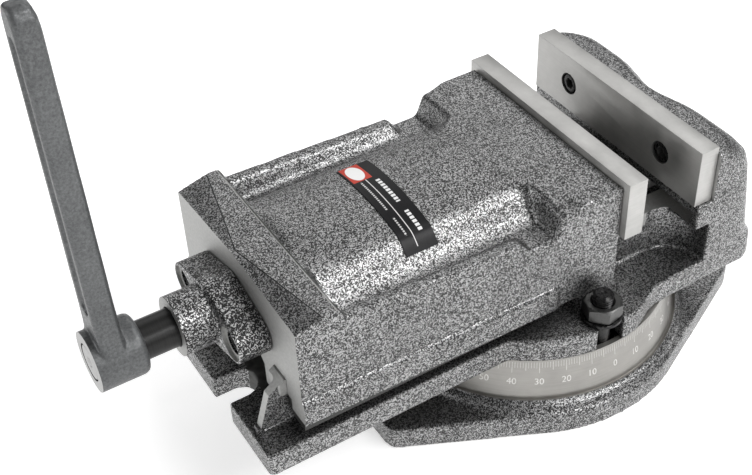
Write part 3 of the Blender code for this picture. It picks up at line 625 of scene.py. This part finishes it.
def make_base():
    def move(x, y, z):
        radius = math.hypot(x, y)
        if z > COLLAR_TOP - 0.5 and DIAL_TOP_R - 0.5 < radius < DIAL_FOOT_R + 0.7:
            x *= (radius + SPARE) / radius
            y *= (radius + SPARE) / radius
        if near(z, DIAL_TOP):
            z += SPARE
        return x, y, z

    base = blank_from("swivel_base", "swivel_base_casting", move)
    cast_edges(base, 0.9, 9)
    ring = [
        (DIAL_FOOT_R, COLLAR_TOP + 0.1),
        (DIAL_TOP_R, DIAL_TOP),
        (DIAL_TOP_R - 3.0, DIAL_TOP + 12.0),
        (95.0, DIAL_TOP + 12.0),
        (95.0, COLLAR_TOP + 12.0),
        (DIAL_FOOT_R + 0.5, COLLAR_TOP + 0.1),
    ]
    apply_boolean(base, turned(ring, (0.0, 0.0), steps=180), finish=BARE)
    top = [(0.0, DIAL_TOP), (90.0, DIAL_TOP), (90.0, DIAL_TOP + 9.0), (0.0, DIAL_TOP + 9.0)]
    apply_boolean(base, turned(top, (0.0, 0.0), steps=90), finish=BARE)
    apply_boolean(base, block((-120.0, -100.0, -5.0), (120.0, 100.0, 0.25)), finish=BARE)
    dress(base, "base", [paint, dial_metal, recess_shade], ["swivel_base"])


def on_dial(turn_deg, z, lift):
    """The point of the dial cone at one angle and height, lifted off it a little."""
    turn = math.radians(turn_deg)
    radius = dial_radius(z) + lift
    return Vector((radius * math.cos(turn), radius * math.sin(turn), z)) * MM


def make_graduations():
    """Degree ticks engraved round the dial, with a number at every tenth."""
    bm = bmesh.new()
    for degree in range(360):
        length = 6.0 if degree % 10 == 0 else 4.6 if degree % 5 == 0 else 3.2
        half = 0.075 if degree % 5 else 0.1
        corners = []
        for lift in (-0.05, 0.012):
            for turn, z in ((-1, 0.0), (1, 0.0), (1, length), (-1, length)):
                angle = degree + math.degrees(turn * half / DIAL_FOOT_R)
                corners.append(bm.verts.new(on_dial(angle, DIAL_TOP - 1.0 - z, lift)))
        low, high = corners[:4], corners[4:]
        bm.faces.new(high)
        bm.faces.new(reversed(low))
        for i in range(4):
            j = (i + 1) % 4
            bm.faces.new((low[i], low[j], high[j], high[i]))
    ticks = object_of("dial_graduations", bm)
    dress(ticks, "base", [light_ink])
    for mark in range(36):
        value = min(mark * 10, 360 - mark * 10) % 100
        text = bpy.data.curves.new("digits", "FONT")
        text.body = str(value)
        text.size = 5.0
        text.align_x = "CENTER"
        text.extrude = 0.03
        helper = bpy.data.objects.new("digits", text)
        bpy.context.scene.collection.objects.link(helper)
        mesh = bpy.data.meshes.new_from_object(
            helper.evaluated_get(bpy.context.evaluated_depsgraph_get())
        )
        bpy.data.objects.remove(helper, do_unlink=True)
        for vert in mesh.vertices:
            across, up, out = vert.co
            angle = mark * 10.0 - 90.0 + math.degrees(across / DIAL_FOOT_R)
            vert.co = on_dial(angle, DIAL_TOP - 13.6 + up, out - 0.015)
        number = bpy.data.objects.new(f"dial_number_{mark * 10:03d}", mesh)
        bpy.context.scene.collection.objects.link(number)
        dress(number, "base", [light_ink])


# ---------------------------------------------------------------- bearing, crank


def make_bearing():
    def move(x, y, z):
        if near(x, FLANGE_FRONT):
            x -= 1.6
        if x < BOSS_FRONT + 1.6:
            radius = math.hypot(y, z - SCREW_Z)
            x = BOSS_FRONT - 2.0
            if radius > 11.0:
                y *= 14.0 / radius
                z = SCREW_Z + (z - SCREW_Z) * 14.0 / radius
        return x, y, z

    bearing = blank_from("bearing_flange", "bearing_casting", move)
    cast_edges(bearing, 0.55, 4)
    for side in (1.0, -1.0):
        spot = [(0.0, -186.0), (8.2, -186.0), (8.2, FLANGE_FRONT), (0.0, FLANGE_FRONT)]
        centre = (side * BEARING_SCREW_Y, SCREW_Z)
        apply_boolean(bearing, turned(spot, centre, "X", 64), finish=BARE)
    face = [(0.0, -200.0), (30.0, -200.0), (30.0, BOSS_FRONT), (0.0, BOSS_FRONT)]
    apply_boolean(bearing, turned(face, (0.0, SCREW_Z), "X", 48), finish=BARE)
    # The bore is coloured with painted shade.
    bore = [(0.0, -200.0), (9.4, -200.0), (9.4, -150.0), (0.0, -150.0)]
    apply_boolean(bearing, turned(bore, (0.0, SCREW_Z), "X", 64), finish=SHADED)
    materials = [coarse_paint, bare, recess_shade]
    dress(bearing, "carriage", materials, ["bearing_flange"])


def make_crank():
    def move(x, y, z):
        radius = math.hypot(y, z - SCREW_Z)
        if x < HUB_FRONT + 1.5 and radius < 14.5:
            x -= 2.0
            if radius > 12.0:
                y *= 14.0 / radius
                z = SCREW_Z + (z - SCREW_Z) * 14.0 / radius
        return x, y, z

    crank = blank_from("crank_handle", "crank_casting", move)
    cast_edges(crank, 0.55, 6)
    face = [(0.0, -240.0), (16.0, -240.0), (16.0, HUB_FRONT), (0.0, HUB_FRONT)]
    apply_boolean(crank, turned(face, (0.0, SCREW_Z), "X", 48), finish=BARE)
    # The bore is coloured with painted shade.
    bore = [(0.0, -240.0), (8.9, -240.0), (8.75, -200.0), (0.0, -200.0)]
    apply_boolean(crank, turned(bore, (0.0, SCREW_Z), "X", 64), finish=SHADED)
    dress(crank, "screw", [satin, turned_face, recess_shade], ["crank_handle"])


# ---------------------------------------------------------------- label


def label_film():
    """A black gloss label: an oval on a red patch, one rule, and bars in place of words."""
    made, tree, shader, place = start("label_film")
    parts = node(tree, "SeparateXYZ", {"Vector": place})
    x, y = parts.outputs[0], parts.outputs[1]

    def within(value, low, high, soft=0.12):
        above = math_node(tree, "SUBTRACT", value, low)
        below = math_node(tree, "SUBTRACT", high, value)
        above = math_node(tree, "DIVIDE", above, soft, clamp=True)
        below = math_node(tree, "DIVIDE", below, soft, clamp=True)
        return math_node(tree, "MULTIPLY", above, below)

    def patch(x_range, y_range):
        return math_node(tree, "MULTIPLY", within(x, *x_range), within(y, *y_range))

    def oval(centre, radii):
        along = math_node(tree, "DIVIDE", math_node(tree, "SUBTRACT", x, centre[0]), radii[0])
        across = math_node(tree, "DIVIDE", math_node(tree, "SUBTRACT", y, centre[1]), radii[1])
        along = math_node(tree, "MULTIPLY", along, along)
        reach = math_node(tree, "ADD", along, math_node(tree, "MULTIPLY", across, across))
        edge = math_node(tree, "SUBTRACT", 1.0, reach)
        return math_node(tree, "MULTIPLY", edge, 8.0, clamp=True)

    speckle = noise(tree, place, 1.5, 2.0)
    colour = ramp(tree, speckle, [(0.3, (0.006, 0.006, 0.007)), (0.7, (0.009, 0.009, 0.010))])
    colour = link_over(tree, colour, (0.50, 0.05, 0.03), patch((-91.2, -81.4), (9.4, 24.6)))
    colour = link_over(tree, colour, (0.85, 0.85, 0.84), oval((-86.4, 16.8), (3.9, 6.8)))
    colour = link_over(tree, colour, (0.80, 0.80, 0.80), patch((-85.4, -84.9), (-34.5, 9.4)))
    for low, high, start_y, end_y in ((-81.8, -79.6, -12.0, 6.5), (-81.8, -79.6, -30.0, -18.0)):
        bars = within(wave(tree, y, 2.2), 0.22, 1.2, 0.15)
        mask = math_node(tree, "MULTIPLY", patch((low, high), (start_y, end_y)), bars)
        colour = link_over(tree, colour, (0.78, 0.78, 0.78), mask)
    for low, high, start_y, end_y in ((-88.6, -87.6, -14.0, 8.5), (-88.6, -87.6, -30.0, -19.0)):
        bars = within(wave(tree, y, 1.3), 0.28, 1.2, 0.15)
        mask = math_node(tree, "MULTIPLY", patch((low, high), (start_y, end_y)), bars)
        colour = link_over(tree, colour, (0.62, 0.62, 0.62), mask)
    wire(tree, shader, colour=colour, roughness=0.3, metallic=0.0)
    wire(tree, shader, **{"Specular IOR Level": 0.14})
    bump(tree, shader, noise(tree, place, 0.08, 1.0), 0.1, 0.2)
    return made


def link_over(tree, base, shade, mask):
    made = node(tree, "Mix", {"Factor": mask}, data_type="RGBA")
    tree.links.new(base, made.inputs[6])
    made.inputs[7].default_value = (*shade, 1.0)
    return made.outputs[2]


def wave(tree, value, period):
    """0 to 1 sawtooth along a coordinate."""
    return math_node(tree, "FRACT", math_node(tree, "DIVIDE", value, period))


def make_label():
    """A thin sheet that follows the crown."""
    low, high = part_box("nameplate")
    rows = []
    for i in range(61):
        y = mix(low.y / MM, high.y / MM, i / 60)
        z = jaw_top(-80.0, y)
        rows.append([(x, y, z) for x in np.linspace(low.x / MM, high.x / MM, 9)])
    label = object_of("label", loft(rows, closed=False))
    lift = label.modifiers.new("thickness", "SOLIDIFY")
    lift.thickness = 0.35 * MM
    lift.offset = 1.0
    bake_modifiers(label)
    for vert in label.data.vertices:
        vert.co.z += 0.12 * MM
    dress(label, "carriage", [label_film()], ["nameplate"])


# ---------------------------------------------------------------- small parts


def make_plate(name, face, inwards, body):
    """A ground jaw plate with finely broken edges and two counterbores."""
    bm = bmesh.new()
    low_x, high_x = sorted((face, face + inwards * PLATE_THICKNESS))
    low = Vector((low_x, -PLATE_HALF, PLATE_BOTTOM)) * MM
    high = Vector((high_x, PLATE_HALF, PLATE_TOP)) * MM
    for vert in bmesh.ops.create_cube(bm, size=1.0)["verts"]:
        vert.co = Vector(mix(a, b, t + 0.5) for a, b, t in zip(low, high, vert.co))
    edges = bm.edges[:]
    bmesh.ops.bevel(bm, geom=edges, offset=0.35 * MM, segments=2, affect="EDGES", profile=0.5)
    plate = with_slots(object_of(name + "_ground", bm))
    bore_r, clearance_r = 5.6, 3.4
    hole = [
        (0.0, face - inwards * 3.0),
        (bore_r + 3.3, face - inwards * 3.0),
        (bore_r, face + inwards * 0.3),
        (bore_r, face + inwards * 6.5),
        (clearance_r, face + inwards * 6.5),
        (clearance_r, face + inwards * 14.0),
        (0.0, face + inwards * 14.0),
    ]
    # The counterbores are coloured with painted shade.
    for y in (PLATE_SCREW_Y, -PLATE_SCREW_Y):
        apply_boolean(plate, turned(hole, (y, PLATE_SCREW_Z), "X", 64), finish=SHADED)
    dress(plate, body, [ground, bare, recess_shade], [name])


def make_cap_screw(node_name, face, inwards, centre, body):
    """A socket cap screw with a rounded rim."""
    head_r, shank_r, socket_flats = 5.0, 3.0, 5.2
    profile = [
        (0.0, face),
        (head_r - 0.7, face),
        (head_r - 0.2, face + inwards * 0.25),
        (head_r, face + inwards * 0.6),
        (head_r, face + inwards * 5.4),
        (shank_r, face + inwards * 5.4),
        (shank_r, face + inwards * 22.0),
        (0.0, face + inwards * 22.0),
    ]
    screw = with_slots(object_of(node_name + "_cap", turned(profile, centre, "X", 64)))
    # The hex socket is coloured with painted shade.
    socket = arc(centre, socket_flats / math.sqrt(3.0) + 0.1, 0.0, 300.0, 5)
    low, high = sorted((face - inwards * 2.0, face + inwards * 3.2))
    apply_boolean(screw, prism(socket, low, high, "X"), finish=SHADED)
    dress(screw, body, [oxide, bare, recess_shade], [node_name])


def make_shaft():
    """The lead screw: a plain black shaft with a collar, then rings for its thread."""
    thread = []
    x = -137.0
    while x < -14.0:
        thread += [(THREAD_R, x), (THREAD_R, x + 1.7), (ROOT_R, x + 2.3), (ROOT_R, x + 4.3)]
        x += THREAD_PITCH
    profile = [
        (0.0, -227.6),
        (1.6, -227.9),
        (2.0, -227.3),
        (2.6, -227.9),
        (7.8, -227.9),
        (8.5, -227.2),
        (8.5, -205.0),
        (SHAFT_R, -205.0),
        (SHAFT_R, -153.9),
        (12.5, -153.9),
        (12.5, -148.1),
        (SHAFT_R, -148.1),
        (SHAFT_R, -143.0),
        (ROOT_R, -143.0),
        (ROOT_R, -138.0),
        *thread,
        (ROOT_R, -12.0),
        (0.0, -12.0),
    ]
    shaft = with_slots(object_of("lead_screw_turned", turned(profile, (0.0, SCREW_Z), "X", 96)))
    turned_end = HUB_FRONT + 1.0
    refinish(shaft, lambda at, _, index: np.where(at[:, 0] < turned_end, BARE, index))
    dress(shaft, "screw", [polished, turned_face, recess_shade], ["lead_screw"], 40.0)


def make_clamp(side, name):
    """A T-bolt, its washer, and a chamfered hexagon nut."""
    centre = (CLAMP_X, side * CLAMP_Y)
    nut_low, nut_high, across_flats = 55.4, 62.9, 17.0
    hexagon = arc(centre, across_flats / math.sqrt(3.0), 12.0, 312.0, 5)
    nut = with_slots(object_of(f"clamp_nut_{name}_hex", prism(hexagon, nut_low, nut_high)))
    shape = [(0.0, nut_low), (8.4, nut_low), (10.2, 56.5), (10.2, 61.6)]
    shape += [(8.2, nut_high), (0.0, nut_high)]
    apply_boolean(nut, turned(shape, centre), "INTERSECT")
    # The bore is coloured with painted shade.
    bore = [(0.0, 50.0), (5.3, 50.0), (5.3, 62.0), (6.3, 63.2), (0.0, 63.2)]
    apply_boolean(nut, turned(bore, centre), finish=SHADED)
    dress(nut, f"{name}_clamp_nut", [nut_steel, bare, recess_shade], [f"clamp_nut_{name}"])
    stud = [(0.0, 27.0), (5.0, 27.0)]
    z = 53.4  # where the thread starts
    while z < 66.2:
        stud += [(5.0, z), (5.0, z + 0.5), (4.45, z + 0.85), (4.45, z + 1.1)]
        z += 1.5
    stud += [(5.0, 66.9), (3.9, 68.0), (1.4, 68.0), (0.0, 67.1)]
    bolt = with_slots(object_of(f"clamp_bolt_{name}_stud", turned(stud, centre, steps=64)))
    x, y = centre
    head = block((x - 7.0, y - 6.2, 22.5), (x + 7.0, y + 6.2, 30.5))
    apply_boolean(bolt, head, "UNION")
    dress(bolt, "vise_body", [oxide, bare, recess_shade], [f"clamp_bolt_{name}"])
    ring = [(5.4, 53.3), (9.8, 53.3), (10.0, 53.5), (10.0, 54.8), (9.7, 55.1), (5.4, 55.1)]
    washer = object_of(f"clamp_washer_{name}_turned", turned(ring, centre))
    dress(washer, "vise_body", [oxide], [f"clamp_washer_{name}"])


def make_small_parts():
    make_plate("fixed_jaw_plate", FIXED_FACE, 1.0, "vise_body")
    make_plate("moving_jaw_plate", MOVING_FACE, -1.0, "carriage")
    for side, name in ((1.0, "far"), (-1.0, "near")):
        centre = (side * PLATE_SCREW_Y, PLATE_SCREW_Z)
        make_cap_screw(f"fixed_plate_screw_{name}", FIXED_FACE + 0.5, 1.0, centre, "vise_body")
        make_cap_screw(f"moving_plate_screw_{name}", MOVING_FACE - 0.5, -1.0, centre, "carriage")
        centre = (side * BEARING_SCREW_Y, SCREW_Z)
        make_cap_screw(f"bearing_screw_{name}", FLANGE_FRONT + 0.6, 1.0, centre, "carriage")
        make_clamp(side, name)
    make_shaft()


def dress_nodes():
    """Materials for the CAD nodes that still show."""
    looks = {
        "keeper_far": dark_steel,
        "keeper_near": dark_steel,
        "pivot_pin": bare,
        "crank_key": bare,
        "screw_nut": bushing,
        "thrust_washer": bushing,
    }
    for name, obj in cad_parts.items():
        if obj.hide_render:
            continue
        found = [look for key, look in looks.items() if key in name]
        obj.data.materials.clear()
        obj.data.materials.append(found[0] if found else oxide)


# ---------------------------------------------------------------- stage


def make_stage():
    bm = bmesh.new()
    corners = [(-3000, -3000), (3000, -3000), (3000, 3000), (-3000, 3000)]
    bm.faces.new([bm.verts.new(Vector((x, y, -0.3)) * MM) for x, y in corners])
    floor = object_of("floor", bm)
    made, tree, shader, place = start("pale_floor")
    wire(tree, shader, colour=ramp(tree, noise(tree, place, 0.002), [(0.3, 0.90), (0.7, 0.93)]))
    wire(tree, shader, roughness=0.7)
    wire(tree, shader, **{"Emission Color": (1.0, 1.0, 1.0), "Emission Strength": 0.5})
    floor.data.materials.append(made)
    world = bpy.data.worlds.new("studio")
    bpy.context.scene.world = world
    world.use_nodes = True
    background = world.node_tree.nodes["Background"]
    background.inputs["Color"].default_value = (1.0, 1.0, 1.0, 1.0)
    background.inputs["Strength"].default_value = 0.20


def area_light(name, place, target, size, power):
    data = bpy.data.lights.new(name, "AREA")
    data.shape = "RECTANGLE"
    data.size, data.size_y = size
    data.energy = power
    light = bpy.data.objects.new(name, data)
    light.location = place
    light.rotation_euler = (Vector(target) - Vector(place)).to_track_quat("-Z", "Y").to_euler()
    bpy.context.scene.collection.objects.link(light)
    return light


def make_lights():
    area_light("valley_strip", (0.49, -0.69, 0.93), (-0.06, 0.0, 0.11), (1.2, 0.18), 10.5)
    area_light("overhead", (0.50, -0.10, 1.45), (0.0, 0.0, 0.08), (0.9, 0.7), 5.0)
    area_light("far_fill", (0.55, 0.95, 0.95), (0.0, 0.0, 0.10), (1.5, 1.0), 5.5)
    area_light("side", (0.0, -1.5, 0.7), (0.0, 0.0, 0.07), (1.2, 0.5), 4.0)
    area_light("end", (-1.3, 0.2, 0.55), (-0.1, 0.0, 0.09), (0.6, 0.9), 5.0)


def make_camera():
    data = bpy.data.cameras.new("camera")
    data.sensor_width = 36.0
    data.lens = 61.62
    data.shift_x = -0.0213
    data.shift_y = -0.01472
    data.clip_start, data.clip_end = 0.01, 20.0
    camera = bpy.data.objects.new("camera", data)
    camera.location = (-0.30902, -0.39220, 0.48496)
    camera.rotation_euler = [math.radians(angle) for angle in (49.561, 1.637, -31.941)]
    bpy.context.scene.collection.objects.link(camera)
    bpy.context.scene.camera = camera


bpy.context.scene.view_settings.view_transform = "Standard"
make_camera()
make_stage()
make_lights()
make_jaw()
make_body()
make_base()
make_graduations()
make_bearing()
make_crank()
make_label()
make_small_parts()
dress_nodes()
